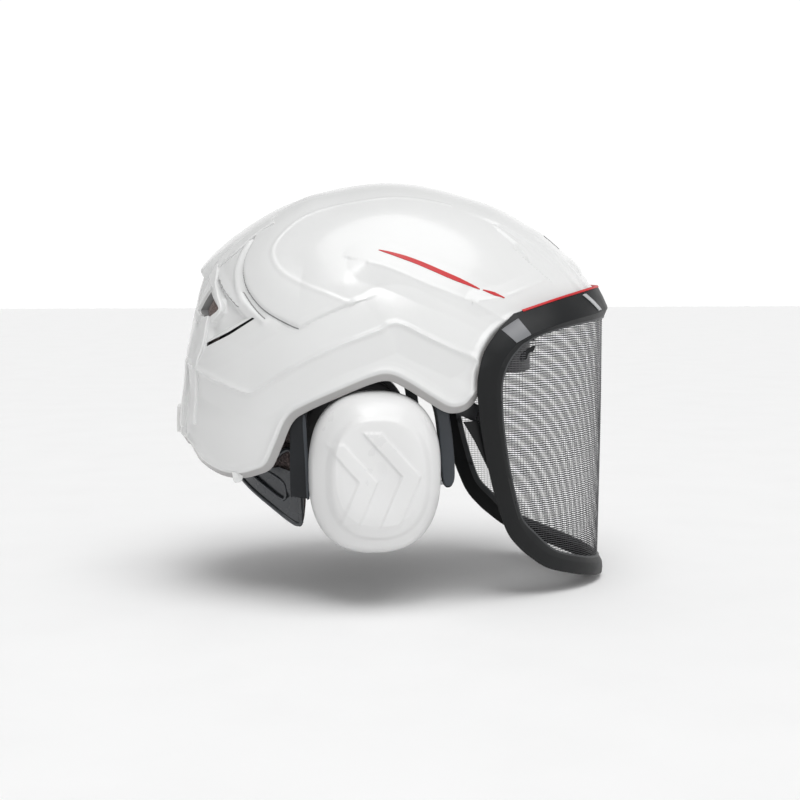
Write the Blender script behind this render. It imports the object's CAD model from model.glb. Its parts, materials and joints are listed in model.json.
"""Forestry helmet with a mesh visor and ear muffs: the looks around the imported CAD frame."""
import json
import math

import bmesh
import bpy
import numpy as np
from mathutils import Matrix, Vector


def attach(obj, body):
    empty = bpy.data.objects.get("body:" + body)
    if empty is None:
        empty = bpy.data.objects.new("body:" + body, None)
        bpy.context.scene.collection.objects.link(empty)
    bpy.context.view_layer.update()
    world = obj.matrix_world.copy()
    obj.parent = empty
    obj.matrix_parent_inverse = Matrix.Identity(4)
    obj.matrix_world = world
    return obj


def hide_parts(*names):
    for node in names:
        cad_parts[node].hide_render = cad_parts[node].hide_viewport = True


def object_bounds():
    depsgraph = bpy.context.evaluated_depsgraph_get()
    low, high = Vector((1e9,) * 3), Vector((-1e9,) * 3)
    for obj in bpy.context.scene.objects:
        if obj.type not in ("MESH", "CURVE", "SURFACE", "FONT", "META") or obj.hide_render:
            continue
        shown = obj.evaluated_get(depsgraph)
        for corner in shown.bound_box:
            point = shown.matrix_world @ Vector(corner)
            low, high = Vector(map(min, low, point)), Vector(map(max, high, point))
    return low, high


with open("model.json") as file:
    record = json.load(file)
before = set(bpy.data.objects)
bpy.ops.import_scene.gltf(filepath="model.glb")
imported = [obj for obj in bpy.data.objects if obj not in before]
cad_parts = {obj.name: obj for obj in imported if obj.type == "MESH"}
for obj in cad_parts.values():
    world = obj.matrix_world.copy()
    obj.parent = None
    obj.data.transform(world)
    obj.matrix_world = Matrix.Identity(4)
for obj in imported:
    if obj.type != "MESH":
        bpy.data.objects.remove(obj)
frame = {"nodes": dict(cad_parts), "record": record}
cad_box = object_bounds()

MM = 0.001


# ---------------------------------------------------------------- small helpers
def smoothstep(a, b, x):
    t = np.clip((np.asarray(x, float) - a) / (b - a), 0, 1)
    return t * t * (3 - 2 * t)


def catmull(points, steps=6, closed=False):
    """Smooth line through the points, as an array."""
    p = [np.array(q, float) for q in points]
    n = len(p)
    out = []
    last = n if closed else n - 1
    for i in range(last):
        if closed:
            a, b, c, d = p[i - 1], p[i], p[(i + 1) % n], p[(i + 2) % n]
        else:
            a, b, c, d = p[max(0, i - 1)], p[i], p[i + 1], p[min(n - 1, i + 2)]
        for k in range(steps):
            t = k / steps
            out.append(b + 0.5 * t * (c - a + t * (2 * a - 5 * b + 4 * c - d
                                                   + t * (3 * (b - c) + d - a))))
    if not closed:
        out.append(p[-1])
    return np.array(out)


def unit(v):
    v = np.asarray(v, float)
    return v / np.maximum(np.linalg.norm(v, axis=-1, keepdims=True), 1e-9)


def make_piece(name, verts_mm, faces, body, slot, material, sharp=None):
    me = bpy.data.meshes.new(name)
    me.from_pydata((np.asarray(verts_mm, float) * MM).tolist(), [],
                   [list(map(int, f)) for f in faces])
    me.validate()
    return finish_piece(name, me, body, material, sharp)


def finish_piece(name, me, body, material, sharp=None):
    me.polygons.foreach_set("use_smooth", [True] * len(me.polygons))
    if sharp:
        me.set_sharp_from_angle(angle=math.radians(sharp))
    ob = bpy.data.objects.new(name, me)
    bpy.context.scene.collection.objects.link(ob)
    me.materials.clear()
    me.materials.append(material)
    if body:
        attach(ob, body)
    return ob


def fix_normals(ob):
    bm = bmesh.new()
    bm.from_mesh(ob.data)
    bmesh.ops.remove_doubles(bm, verts=bm.verts, dist=1e-6)
    bmesh.ops.recalc_face_normals(bm, faces=bm.faces)
    bm.to_mesh(ob.data)
    bm.free()


def grid_faces(rows, cols, close_rows=False, close_cols=False, start=0):
    out = []
    for i in range(rows if close_rows else rows - 1):
        for j in range(cols if close_cols else cols - 1):
            a = start + i * cols + j
            b = start + i * cols + (j + 1) % cols
            c = start + ((i + 1) % rows) * cols + (j + 1) % cols
            d = start + ((i + 1) % rows) * cols + j
            out.append((a, b, c, d))
    return out


def swept(rails, closed=False):
    """Solid whose cross-section at each station is the ring of rail points."""
    m = len(rails)
    n = len(rails[0])
    verts = np.stack(rails, axis=1).reshape(-1, 3)
    faces = grid_faces(n, m, close_rows=closed, close_cols=True)
    if not closed:
        faces.append(tuple(range(m - 1, -1, -1)))
        faces.append(tuple(range((n - 1) * m, n * m)))
    return verts, faces


def swept_piece(name, rails, body, slot, material, sharp=None, closed=False):
    """Piece swept along its rails, with its normals turned outward."""
    ob = make_piece(name, *swept(rails, closed), body, slot, material, sharp)
    fix_normals(ob)
    return ob


def bevel(ob, width_mm, segments, angle):
    m = ob.modifiers.new("bevel", "BEVEL")
    m.width = width_mm * MM
    m.segments = segments
    m.limit_method = "ANGLE"
    m.angle_limit = math.radians(angle)
    m.harden_normals = False
    apply_modifiers(ob)


def apply_modifiers(ob):
    dg = bpy.context.evaluated_depsgraph_get()
    me = bpy.data.meshes.new_from_object(ob.evaluated_get(dg))
    old = ob.data
    ob.modifiers.clear()
    ob.data = me
    bpy.data.meshes.remove(old)


def mirrored_pair(make):
    """Run make once per side: -1 is the wearer's right, 1 the left."""
    for side in (-1, 1):
        make(side)


def cad_node(name):
    ob = frame["nodes"][name]
    return bpy.data.objects[ob] if isinstance(ob, str) else ob


SIDE_NAME = {-1: "right", 1: "left"}


# ---------------------------------------------------------------- materials
def new_material(name):
    m = bpy.data.materials.new(name)
    m.use_nodes = True
    nt = m.node_tree
    return m, nt, nt.nodes["Principled BSDF"]


def node(nt, kind, **values):
    n = nt.nodes.new(kind)
    for key, value in values.items():
        if hasattr(n, key) and key not in n.inputs:
            setattr(n, key, value)
        else:
            n.inputs[key].default_value = value
    return n


def ramp(nt, source, stops):
    r = nt.nodes.new("ShaderNodeValToRGB")
    e = r.color_ramp.elements
    while len(e) < len(stops):
        e.new(0.5)
    for item, (pos, c) in zip(e, stops):
        item.position = pos
        item.color = (*c, 1) if not isinstance(c, (int, float)) else (c, c, c, 1)
    nt.links.new(source, r.inputs["Fac"])
    return r.outputs["Color"]


def plastic(name, dark, light, rough=(0.3, 0.45), grain=900.0, bump=0.06, coat=0.0,
            coat_rough=0.1, shine=0.5):
    """Moulded plastic: colour and roughness drift, and a fine grain."""
    m, nt, bsdf = new_material(name)
    co = nt.nodes.new("ShaderNodeTexCoord").outputs["Object"]
    drift = node(nt, "ShaderNodeTexNoise", Scale=14.0, Detail=4.0)
    nt.links.new(co, drift.inputs["Vector"])
    nt.links.new(ramp(nt, drift.outputs["Fac"], [(0.3, dark), (0.7, light)]),
                 bsdf.inputs["Base Color"])
    spots = node(nt, "ShaderNodeTexNoise", Scale=60.0, Detail=5.0)
    nt.links.new(co, spots.inputs["Vector"])
    nt.links.new(ramp(nt, spots.outputs["Fac"], [(0.3, rough[0]), (0.7, rough[1])]),
                 bsdf.inputs["Roughness"])
    fine = node(nt, "ShaderNodeTexNoise", Scale=grain, Detail=3.0)
    nt.links.new(co, fine.inputs["Vector"])
    b = node(nt, "ShaderNodeBump", Strength=bump, Distance=0.0006)
    nt.links.new(fine.outputs["Fac"], b.inputs["Height"])
    nt.links.new(b.outputs["Normal"], bsdf.inputs["Normal"])
    bsdf.inputs["Coat Weight"].default_value = coat
    bsdf.inputs["Coat Roughness"].default_value = coat_rough
    bsdf.inputs["Specular IOR Level"].default_value = shine
    return m


def seam_mask(nt, key):
    """1 away from the seams and 0 on them, from a signed and a plain distance in mm."""
    side = node(nt, "ShaderNodeAttribute", attribute_name=key + "_side")
    gap = node(nt, "ShaderNodeAttribute", attribute_name=key + "_gap")
    size = node(nt, "ShaderNodeMath", operation="ABSOLUTE")
    nt.links.new(side.outputs["Fac"], size.inputs[0])
    less = node(nt, "ShaderNodeMath", operation="SUBTRACT")
    less.inputs[1].default_value = 0.9
    nt.links.new(gap.outputs["Fac"], less.inputs[0])
    both = node(nt, "ShaderNodeMath", operation="MAXIMUM")
    nt.links.new(size.outputs[0], both.inputs[0])
    nt.links.new(less.outputs[0], both.inputs[1])
    line = node(nt, "ShaderNodeMapRange", interpolation_type="SMOOTHSTEP")
    line.inputs["From Min"].default_value = 0.10
    line.inputs["From Max"].default_value = 0.62
    nt.links.new(both.outputs[0], line.inputs["Value"])
    return line.outputs["Result"]


def shell_white(name, seams):
    """Gloss white plastic; with seams, thin dark lines and a greyer underside of the rim."""
    m = plastic(name, (0.742, 0.746, 0.743), (0.756, 0.76, 0.757), (0.20, 0.25),
                350.0, 0.03, coat=0.2, coat_rough=0.09)
    if not seams:
        return m
    nt = m.node_tree
    bsdf = nt.nodes["Principled BSDF"]
    colour = bsdf.inputs["Base Color"].links[0].from_socket
    for key, dark in (("leaf", (0.20, 0.205, 0.21, 1)), ("slot", (0.24, 0.24, 0.24, 1))):
        mix = node(nt, "ShaderNodeMix", data_type="RGBA")
        mix.inputs[6].default_value = dark
        nt.links.new(seam_mask(nt, key), mix.inputs["Factor"])
        nt.links.new(colour, mix.inputs[7])
        colour = mix.outputs[2]
    under = node(nt, "ShaderNodeAttribute", attribute_name="under")
    mix = node(nt, "ShaderNodeMix", data_type="RGBA")
    nt.links.new(under.outputs["Fac"], mix.inputs["Factor"])
    nt.links.new(colour, mix.inputs[6])
    mix.inputs[7].default_value = (0.40, 0.392, 0.388, 1)
    nt.links.new(mix.outputs[2], bsdf.inputs["Base Color"])
    return m


def fabric(name, dark, mid, light, scale=900.0, bump=0.6, rough=0.9):
    """Melange knit: speckled yarn in staggered cells."""
    m, nt, bsdf = new_material(name)
    co = nt.nodes.new("ShaderNodeTexCoord").outputs["Object"]
    cells = node(nt, "ShaderNodeTexVoronoi", Scale=scale)
    nt.links.new(co, cells.inputs["Vector"])
    yarn = node(nt, "ShaderNodeTexNoise", Scale=scale * 0.55, Detail=6.0, Roughness=0.75)
    nt.links.new(co, yarn.inputs["Vector"])
    colour = ramp(nt, yarn.outputs["Fac"], [(0.34, dark), (0.52, mid), (0.68, light)])
    shade = node(nt, "ShaderNodeMix", data_type="RGBA", blend_type="MULTIPLY")
    shade.inputs["Factor"].default_value = 0.7
    nt.links.new(colour, shade.inputs[6])
    nt.links.new(ramp(nt, cells.outputs["Distance"], [(0.0, 1.0), (0.55, 0.35)]),
                 shade.inputs[7])
    nt.links.new(shade.outputs[2], bsdf.inputs["Base Color"])
    wide = node(nt, "ShaderNodeTexNoise", Scale=40.0, Detail=2.0)
    nt.links.new(co, wide.inputs["Vector"])
    nt.links.new(ramp(nt, wide.outputs["Fac"], [(0.3, rough - 0.1), (0.7, min(1.0, rough + 0.06))]),
                 bsdf.inputs["Roughness"])
    b = node(nt, "ShaderNodeBump", Strength=bump, Distance=0.0008)
    b.invert = True
    nt.links.new(cells.outputs["Distance"], b.inputs["Height"])
    nt.links.new(b.outputs["Normal"], bsdf.inputs["Normal"])
    bsdf.inputs["Sheen Weight"].default_value = 0.25
    bsdf.inputs["Sheen Roughness"].default_value = 0.5
    return m


def webbing(name, dark, light):
    """Woven strap: fine diagonal ribs along the object axes."""
    m, nt, bsdf = new_material(name)
    co = nt.nodes.new("ShaderNodeTexCoord").outputs["Object"]
    rib = node(nt, "ShaderNodeTexWave", Scale=420.0, Distortion=1.2, Detail=1.0)
    rib.bands_direction = "DIAGONAL"
    nt.links.new(co, rib.inputs["Vector"])
    nt.links.new(ramp(nt, rib.outputs["Fac"], [(0.2, dark), (0.8, light)]),
                 bsdf.inputs["Base Color"])
    spots = node(nt, "ShaderNodeTexNoise", Scale=300.0, Detail=3.0)
    nt.links.new(co, spots.inputs["Vector"])
    nt.links.new(ramp(nt, spots.outputs["Fac"], [(0.3, 0.75), (0.7, 0.95)]),
                 bsdf.inputs["Roughness"])
    b = node(nt, "ShaderNodeBump", Strength=0.5, Distance=0.0006)
    nt.links.new(rib.outputs["Fac"], b.inputs["Height"])
    nt.links.new(b.outputs["Normal"], bsdf.inputs["Normal"])
    return m


def metal(name, dark, light, rough=(0.22, 0.4)):
    m = plastic(name, dark, light, rough, 1500.0, 0.05)
    m.node_tree.nodes["Principled BSDF"].inputs["Metallic"].default_value = 1.0
    return m


MAT = {
    "shell_white": shell_white("shell_white", False),
    "shell_seamed": shell_white("shell_seamed", True),
    "liner_black": plastic("liner_black", (0.016, 0.016, 0.018), (0.03, 0.03, 0.033),
                           (0.55, 0.75), 500.0, 0.25),
    "vent_fabric": fabric("vent_fabric", (0.16, 0.11, 0.10), (0.30, 0.22, 0.20),
                          (0.55, 0.45, 0.42), 700.0, 0.5),
    "accent_red": plastic("accent_red", (0.50, 0.008, 0.012), (0.56, 0.012, 0.016),
                          (0.35, 0.45), 500.0, 0.03),
    "clip_white": plastic("clip_white", (0.72, 0.72, 0.71), (0.80, 0.80, 0.79),
                          (0.28, 0.42), 600.0, 0.05, coat=0.2),
    "strap_grey": webbing("strap_grey", (0.025, 0.025, 0.028), (0.07, 0.07, 0.075)),
    "clip_black": plastic("clip_black", (0.014, 0.014, 0.016), (0.028, 0.028, 0.03),
                          (0.35, 0.5), 900.0, 0.12),
    "pad_fabric": fabric("pad_fabric", (0.035, 0.022, 0.022), (0.12, 0.085, 0.08),
                         (0.42, 0.33, 0.31), 850.0, 0.7),
    "band_black": plastic("band_black", (0.018, 0.018, 0.02), (0.035, 0.035, 0.038),
                          (0.38, 0.52), 800.0, 0.12),
    "block_black": plastic("block_black", (0.014, 0.014, 0.016), (0.028, 0.028, 0.03),
                           (0.4, 0.55), 700.0, 0.15),
    "pin_steel": metal("pin_steel", (0.30, 0.31, 0.32), (0.42, 0.43, 0.44)),
    "arm_grey": plastic("arm_grey", (0.022, 0.023, 0.026), (0.045, 0.047, 0.052),
                        (0.25, 0.4), 900.0, 0.08),
    "stripe_grey": plastic("stripe_grey", (0.42, 0.43, 0.44), (0.50, 0.51, 0.52),
                           (0.3, 0.4), 900.0, 0.05),
    "border_dark": plastic("border_dark", (0.035, 0.037, 0.04), (0.055, 0.057, 0.06),
                           (0.4, 0.5), 900.0, 0.08),
    "frame_black": plastic("frame_black", (0.005, 0.0055, 0.006), (0.008, 0.009, 0.010),
                           (0.38, 0.5), 1400.0, 0.10, shine=0.26),
    "mesh_grey": metal("mesh_grey", (0.10, 0.10, 0.105), (0.20, 0.20, 0.21), (0.35, 0.5)),
    "retainer_grey": plastic("retainer_grey", (0.15, 0.155, 0.165), (0.20, 0.205, 0.215),
                             (0.35, 0.48), 900.0, 0.08),
    "yoke_slate": plastic("yoke_slate", (0.028, 0.034, 0.042), (0.045, 0.053, 0.064),
                          (0.28, 0.42), 900.0, 0.08),
    "yoke_dark": plastic("yoke_dark", (0.009, 0.010, 0.012), (0.014, 0.016, 0.019),
                         (0.32, 0.45), 900.0, 0.08, shine=0.25),
    "cup_white": plastic("cup_white", (0.745, 0.746, 0.745), (0.757, 0.757, 0.755),
                         (0.26, 0.38), 700.0, 0.05, coat=0.25, coat_rough=0.15),
    "backplate_black": plastic("backplate_black", (0.014, 0.014, 0.016), (0.03, 0.03, 0.032),
                               (0.4, 0.55), 800.0, 0.15),
    "cushion_black": plastic("cushion_black", (0.016, 0.016, 0.017), (0.03, 0.03, 0.031),
                             (0.45, 0.62), 450.0, 0.45),
    "foam_grey": fabric("foam_grey", (0.02, 0.02, 0.022), (0.06, 0.06, 0.065),
                        (0.12, 0.12, 0.13), 600.0, 1.0),
    "cradle_grey": plastic("cradle_grey", (0.032, 0.035, 0.040), (0.055, 0.060, 0.067),
                           (0.22, 0.34), 900.0, 0.06, coat=0.4),
    "knob_black": plastic("knob_black", (0.016, 0.016, 0.018), (0.03, 0.03, 0.033),
                          (0.35, 0.5), 800.0, 0.15),
    "slider_grey": plastic("slider_grey", (0.05, 0.05, 0.053), (0.08, 0.08, 0.084),
                           (0.4, 0.5), 800.0, 0.1),
}

for record_part in frame["record"]["subparts"]:
    ob = cad_node(record_part["node"])
    ob.data.materials.clear()
    dark = record_part["node"].startswith(("cup_pivot", "frame_screws"))
    ob.data.materials.append(MAT["yoke_dark" if dark else record_part["material_slot"]])


# ---------------------------------------------------------------- shell surface
SHELL_Z = -12.0
SHELL_R = np.array([158, 160, 163.5, 162.8, 161.2, 160.8, 162, 162, 163, 162.5, 154,
                    144.8, 145, 144, 140])
SHELL_W = 106.0
SHELL_N = 2.3
RIM = [(-175, -18), (-143, -24.5), (-132, -35.5), (-119, -42), (-106, -43), (-94, -39.5),
       (-85, -34), (-78.5, -20), (-71.5, -4), (-62, 3), (-40, 13), (-22, 20.4),
       (-11, 22.3), (0, 17.5), (15, 8), (26, 2), (35, 2), (42, 6.5), (46.5, 15), (48, 27),
       (52, 39), (62, 50), (78, 57.5), (98, 62.5), (120, 67), (140, 69.5), (175, 72)]
RIM_CURVE = catmull(RIM, 8)


def shell_angle(p):
    a = np.degrees(np.arctan2(p[:, 2] - SHELL_Z, p[:, 0]))
    return np.where(a < -90, a + 360, a)


def shell_radius(angle):
    a = np.clip(angle / 15.0, 0, 13.9999)
    i = a.astype(int)
    f = a - i
    p0, p1, p2, p3 = [SHELL_R[np.clip(i + k, 0, 14)] for k in (-1, 0, 1, 2)]
    return p1 + 0.5 * f * (p2 - p0 + f * (2 * p0 - 5 * p1 + 4 * p2 - p3
                                          + f * (3 * (p1 - p2) + p3 - p0)))


def shell_level(p):
    """1 on the shell's surface, and grows in proportion along rays from its centre."""
    rho = np.hypot(p[:, 0], p[:, 2] - SHELL_Z) / shell_radius(shell_angle(p))
    return (rho ** SHELL_N + (np.abs(p[:, 1]) / SHELL_W) ** SHELL_N) ** (1 / SHELL_N)


def on_shell(p):
    p = np.atleast_2d(np.asarray(p, float))
    c = np.array([0, 0, SHELL_Z])
    return c + (p - c) / shell_level(p)[:, None]


def shell_normal(p):
    e = 0.8
    g = [shell_level(p + e * np.eye(3)[k]) - shell_level(p - e * np.eye(3)[k])
         for k in range(3)]
    return unit(np.stack(g, axis=1))


def line_gap(p, n, pts, reach=45.0):
    """Distance in mm to a line on the shell; positive to its left, seen from outside."""
    pts = np.asarray(pts, float)
    best = np.full(len(p), reach)
    near = np.all((p > pts.min(0) - reach) & (p < pts.max(0) + reach), axis=1)
    q, m = p[near], n[near]
    sub = np.full(len(q), reach)
    for a, b in zip(pts, pts[1:]):
        d = b - a
        t = np.clip(((q - a) @ d) / max(d @ d, 1e-9), 0, 1)
        v = q - (a + t[:, None] * d)
        dist = np.linalg.norm(v, axis=1)
        side = np.sign(np.einsum("ij,ij->i", np.cross(d, v), m))
        sub = np.where(dist < np.abs(sub), dist * np.where(side == 0, 1, side), sub)
    best[near] = sub
    return best


def on_line(points, steps=5):
    return on_shell(catmull(points, steps))


# Lines on the right side of the shell (x, y, z), in mm.
BELT = on_line([(-136, -30, 31), (-127, -51, 26), (-115, -68, 20), (-99, -82, 14),
                (-92, -86, 15), (-80, -91, 22.5), (-58, -97, 35.5), (-38, -99, 44.5),
                (-17, -100, 53), (-10, -99, 56.5), (-2, -99, 56), (13, -101, 49),
                (30, -101, 41), (43, -100, 34.5), (46, -101, 29), (45.5, -102, 18.5),
                (41, -103, 12.5)])
LEAF_OUT = on_line([(-70, -28, 130), (-88, -36, 118), (-94, -45, 108), (-99, -52, 98),
                    (-100.5, -58, 90), (-98.5, -66.5, 80), (-93, -74, 71.5),
                    (-87, -80, 65.5), (-79, -85.5, 60.5), (-68, -91, 55.2), (-64, -92, 55.5),
                    (-56, -93, 59.5), (-45, -93.5, 64.5), (-34, -94, 69)])
LEAF_IN = on_line([(-34, -94, 69.5), (-47, -90, 75), (-61, -84, 80.5), (-73, -77, 87),
                   (-80, -70, 94), (-81.5, -62, 102), (-78, -57, 110), (-69, -52, 119),
                   (-57, -49, 126.5), (-41, -48, 132), (-23, -48.5, 136), (2, -47.5, 138),
                   (35, -47, 133)])
LEAF_BEAD = on_line([(-90, -39, 115), (-99, -43.5, 105.5), (-104, -50.5, 94.5),
                     (-105.5, -57, 85.5), (-103, -66, 74), (-96.5, -74, 65.5),
                     (-88, -82, 58.5)])
LEAF_GROOVE = on_line([(-100, -66, 76), (-96.5, -72.5, 70), (-91.5, -78, 64),
                       (-87.5, -81.5, 60.5)])
BROW = on_line([(-22, -85, 96.5), (-12, -86.5, 93), (-2, -88.5, 89), (14, -91, 82),
                (33, -92, 74.5), (57, -91.5, 63), (66, -90, 57)])
BROW_LOW = on_line([(47, -91, 70.5), (64, -86, 73.5), (81, -77, 79), (96, -66, 84.5)])
SLOT_LOW = on_line([(80, -62, 101), (89, -63.5, 93.5), (97, -64, 86.5)])
SLOT_TOP = on_line([(66, -53, 116), (79, -58, 106.5), (84, -61, 100)])
REAR_SLIT = on_line([(-118, -33.5, 90), (-115, -47, 82), (-111, -57, 75),
                     (-104.5, -67.5, 67.5)])
REAR_CREASE = on_line([(-127, -51, 30), (-106, -73, 44.5), (-86, -83, 58)])
# The hollow behind the rear post, as (|y|, z).
SCOOP = [(37, 89), (47, 82), (57, 75), (68, 67.5), (76, 60.5), (65, 52), (53, 44), (50, 55),
         (57.5, 64), (53, 72), (43, 80)]


def rim_gap(p):
    """Height in mm above the rim line, measured square to it in the side view."""
    xz = p[:, [0, 2]]
    best = np.full(len(p), 60.0)
    near = (p[:, 2] - np.interp(p[:, 0], RIM_CURVE[:, 0], RIM_CURVE[:, 1])) < 60
    q = xz[near]
    sub = np.full(len(q), 60.0)
    for a, b in zip(RIM_CURVE, RIM_CURVE[1:]):
        d = b - a
        t = np.clip(((q - a) @ d) / (d @ d), 0, 1)
        sub = np.minimum(sub, np.linalg.norm(q - (a + t[:, None] * d), axis=1))
    best[near] = sub
    return best


def polygon_gap(u, v, poly):
    """Distance in mm inside a polygon, and 0 outside it."""
    inside = np.zeros(len(u), bool)
    dist = np.full(len(u), 1e3)
    n = len(poly)
    for i in range(n):
        (u0, v0), (u1, v1) = poly[i], poly[(i + 1) % n]
        cross = ((v0 > v) != (v1 > v)) & (u < (u1 - u0) * (v - v0) / (v1 - v0 + 1e-12) + u0)
        inside ^= cross
        du, dv = u1 - u0, v1 - v0
        t = np.clip(((u - u0) * du + (v - v0) * dv) / (du * du + dv * dv), 0, 1)
        dist = np.minimum(dist, np.hypot(u - u0 - t * du, v - v0 - t * dv))
    return np.where(inside, dist, 0.0)


def ridge(d, high, left, right):
    """A crease of the given height that fades out to its left and its right."""
    fade = np.where(d > 0, 1 - d / left, 1 + d / right)
    return high * np.clip(fade, 0, 1)


def bead(d, high, width):
    """A rounded line of the given height, centred where d is 0."""
    return high * np.exp(-(d / width) ** 2)


def lip(f):
    """Profile of the rim: it curls in at the edge and has a rounded bead above."""
    return np.interp(f, [0, 4.2, 5.2, 6.4, 7.6, 9.5, 12], [-2.6, -0.2, 0.9, 1.25, 0.75, 0.2, 0])


def nearer(best, d, shift=0.0):
    """Keep whichever signed distance is the smaller."""
    return np.where(np.abs(d) + shift < np.abs(best), d + np.sign(d) * shift, best)


def front_steps(a, y):
    """Raised panel over the forehead with a second step and a short bar on it."""
    h = 1.6 * smoothstep(-1.6, 1.6, 50 - y)
    h += 1.3 * smoothstep(-1.4, 1.4, 41 - y) * smoothstep(56, 51, a)
    h *= smoothstep(74, 62, a) * smoothstep(24, 32, a)
    return h + 1.4 * smoothstep(37.5, 39, a) * smoothstep(43.5, 41, a) * smoothstep(36, 33, y)


def spine(a, y):
    """Raised middle of the rear crown, which ends in a step, with a groove along its sides."""
    half = np.interp(a, [100, 128, 132, 138, 142], [30, 31, 30, 24, 19])
    high = np.interp(a, [100, 118, 128, 134, 141.3, 142.4, 146, 150],
                     [0, 0.6, 1.0, 2.6, 6.6, 2.2, 1.4, 0])
    groove = bead(y - half - 2, -0.9, 1.3) * smoothstep(118, 126, a) * smoothstep(143, 139, a)
    return high * smoothstep(-2.0, 2.0, half - y) + groove


def relief(p):
    """How far the moulded surface stands off the plain shell, and the nearest seam."""
    q = p * [1, 0, 1] - np.abs(p) * [0, 1, 0]
    n = shell_normal(q)
    a = shell_angle(q)
    y = np.abs(q[:, 1])
    h = lip(rim_gap(q))
    d = line_gap(q, n, BELT)
    h += ridge(d, 3.4, 26, 17) + bead(d, 1.2, 1.5)
    d = line_gap(q, n, LEAF_OUT)
    soft = (q[:, 0] > -66) & (q[:, 2] < 75)
    leaf = np.where(soft, 9.0, d + 0.45)
    seam = np.full(len(q), 9.0)
    w = smoothstep(-80, -52, q[:, 0]) * smoothstep(92, 66, q[:, 2])
    inside = (1.8 + 0.3 * w) * (1 - np.exp(-np.abs(d) / (0.5 + 0.5 * w)))
    inside = inside * smoothstep(-16, -38, q[:, 0])
    h += np.where(d > 0, inside * (1 - smoothstep(12, 40, d)), 0)
    h -= np.where(d < 0, 0.6 * (1 - w), 0) * np.exp(-((d + 0.9) / 1.1) ** 2)
    h += bead(line_gap(q, n, LEAF_IN), 0.45, 1.1)
    h += bead(line_gap(q, n, LEAF_BEAD), 1.3, 1.8)
    d = line_gap(q, n, LEAF_GROOVE)
    h -= bead(d, 0.8, 1.2)
    seam = nearer(seam, d, 0.1)
    d = line_gap(q, n, BROW)
    h += ridge(d, 1.6, 18, 14) + bead(d, 0.4, 1.1)
    d = line_gap(q, n, BROW_LOW)
    h += ridge(d, 0.9, 9, 9) + bead(d, 0.3, 1.0)
    d = line_gap(q, n, SLOT_LOW)
    h -= ridge(-d, 1.8, 1.0, 8)
    seam = nearer(seam, d, 0.2)
    h += ridge(line_gap(q, n, SLOT_TOP), 1.2, 6, 2)
    h += front_steps(a, y) + spine(a, y)
    rear = q[:, 0] < -85
    h -= np.where(rear, 3.2 * smoothstep(0, 3.0, polygon_gap(y, q[:, 2], SCOOP)), 0)
    d = line_gap(q, n, REAR_SLIT)
    h += ridge(d, 1.1, 6, 0.8)
    seam = nearer(seam, d, 0.1)
    h += ridge(line_gap(q, n, REAR_CREASE), 1.2, 8, 10)
    low = smoothstep(30, 24, q[:, 2]) * (q[:, 0] < -100)
    h -= low * bead(y - np.interp(q[:, 2], [-20, 28], [33, 27]), 2.4, 3.0)
    return h, np.clip(leaf, -6, 6), np.clip(seam, -6, 6)


def shell_surface(p):
    """Points of the moulded shell nearest p, and its plain normals there."""
    p = on_shell(p)
    n = shell_normal(p)
    h = relief(p)[0]
    return p + n * h[:, None], n


def shell_rays():
    """Azimuths whose rays meet the rim at about even steps, and the rim's elevations."""
    phi = np.linspace(-math.pi, math.pi, 2401)
    el = np.radians(np.arange(88, -50, -0.25))
    c = np.array([0, 0, SHELL_Z])

    def above(ph, e):
        d = np.stack([np.cos(e) * np.cos(ph), np.cos(e) * np.sin(ph), np.sin(e)], axis=-1)
        p = on_shell(c + d.reshape(-1, 3) * 100)
        z = np.interp(p[:, 0], RIM_CURVE[:, 0], RIM_CURVE[:, 1])
        return (p[:, 2] - z).reshape(ph.shape), p

    f, _ = above(*np.meshgrid(phi, el, indexing="ij"))
    first = np.argmax(f < 0, axis=1)
    hi, lo = el[first - 1], el[first]
    for _ in range(22):
        mid = (hi + lo) / 2
        f, p = above(phi, mid)
        hi = np.where(f > 0, mid, hi)
        lo = np.where(f > 0, lo, mid)
    step = np.linalg.norm(np.diff(p, axis=0), axis=1)
    run = np.concatenate([[0], np.cumsum(step)])
    run = 0.6 * run / run[-1] + 0.4 * np.linspace(0, 1, len(run))
    want = np.linspace(0, 1, RAYS, endpoint=False)
    return np.interp(want, run, phi), np.interp(want, run, hi)


# Fineness of the shell's mesh: rays around the rim, fine rows at the rim, rows outside, inside.
RAYS = 800
ROWS_NEAR = 20
ROWS_FAR = 190
ROWS_IN = 34
FINE_ROW_MM = 0.75
RIM_REACH_MM = 130.0
SHELL_WALL = 3.0
RIM_WALL_MOST = 3.3
REAR_EXTRA_WALL = 1.2


def shell_rows(phi, rim, rows):
    """Points of the plain shell from the rim up to near the crown, one row after another."""
    out = []
    near = [FINE_ROW_MM * k / RIM_REACH_MM for k in range(ROWS_NEAR)] if rows == ROWS_FAR else [0.0]
    top = math.radians(89.2)
    start = near[-1]
    steps = near + [None] * rows
    for k, s in enumerate(steps):
        if s is not None:
            e = rim + s
        else:
            t = (k - len(near) + 1) / rows
            e = rim + start + (top - rim - start) * t
        d = np.stack([np.cos(e) * np.cos(phi), np.cos(e) * np.sin(phi), np.sin(e)], axis=1)
        out.append(on_shell(np.array([0, 0, SHELL_Z]) + d * 100))
    return out


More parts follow.
